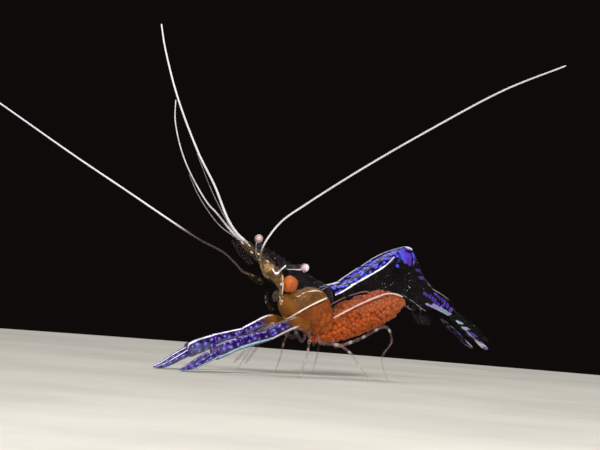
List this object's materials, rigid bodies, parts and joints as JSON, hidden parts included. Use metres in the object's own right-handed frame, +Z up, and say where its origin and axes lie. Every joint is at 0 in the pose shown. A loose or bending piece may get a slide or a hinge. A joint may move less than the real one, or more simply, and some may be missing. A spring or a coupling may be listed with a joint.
{
  "type": "cleaner shrimp",
  "caption": "Still life-size glass-clear cleaner shrimp with violet spots, long white feelers, slim claws and a brood of orange eggs.",
  "frame": {"origin": "on the floor under the middle of the whole outline, feelers included", "axes": "+Z up, head towards -X, tail towards +X, the animal's left side towards -Y"},
  "size_m": [0.0362, 0.0442, 0.0214],
  "materials": {
    "clear_shell": "wet clear shell with fine white lines and violet spots",
    "spotted_shell": "wet clear shell crowded with blue-violet spots and white edge lines",
    "tinted_shell": "wet clear shell over tan flesh",
    "eggs": "moist orange egg clusters",
    "eye": "pink eye under a clear glossy cap",
    "feeler": "white, finely ringed"
  },
  "bodies": {
    "root": {"abdomen_1": "spotted_shell", "abdomen_2": "spotted_shell", "abdomen_3": "spotted_shell", "abdomen_4": "clear_shell", "abdomen_5": "clear_shell", "abdomen_6": "clear_shell", "antenna_left": "feeler", "antenna_right": "feeler", "antenna_root_left": "tinted_shell", "antenna_root_right": "tinted_shell", "antenna_scale_left": "clear_shell", "antenna_scale_right": "clear_shell", "antennule_left": "clear_shell", "antennule_right": "clear_shell", "antennule_whips_left": "feeler", "antennule_whips_right": "feeler", "carapace": "clear_shell", "claw_arm_left": "spotted_shell", "claw_arm_right": "spotted_shell", "claw_finger_left": "spotted_shell", "claw_finger_right": "spotted_shell", "claw_hand_left": "spotted_shell", "claw_hand_right": "spotted_shell", "claw_wrist_left": "spotted_shell", "claw_wrist_right": "spotted_shell", "egg_mass": "eggs", "eye_left": "eye", "eye_right": "eye", "eyestalk_left": "clear_shell", "eyestalk_right": "clear_shell", "front_leg_left": "clear_shell", "front_leg_right": "clear_shell", "head_front": "tinted_shell", "jaw_leg_left": "clear_shell", "jaw_leg_right": "clear_shell", "mouthparts": "tinted_shell", "swimmeret_1_left": "clear_shell", "swimmeret_1_right": "clear_shell", "swimmeret_2_left": "clear_shell", "swimmeret_2_right": "clear_shell", "swimmeret_3_left": "clear_shell", "swimmeret_3_right": "clear_shell", "swimmeret_4_left": "clear_shell", "swimmeret_4_right": "clear_shell", "swimmeret_5_left": "clear_shell", "swimmeret_5_right": "clear_shell", "tail_inner_left": "clear_shell", "tail_inner_right": "clear_shell", "tail_outer_left": "clear_shell", "tail_outer_right": "clear_shell", "telson": "clear_shell", "walking_leg_3_left": "clear_shell", "walking_leg_3_right": "clear_shell", "walking_leg_4_left": "clear_shell", "walking_leg_4_right": "clear_shell", "walking_leg_5_left": "clear_shell", "walking_leg_5_right": "clear_shell"}
  },
  "joints": []
}
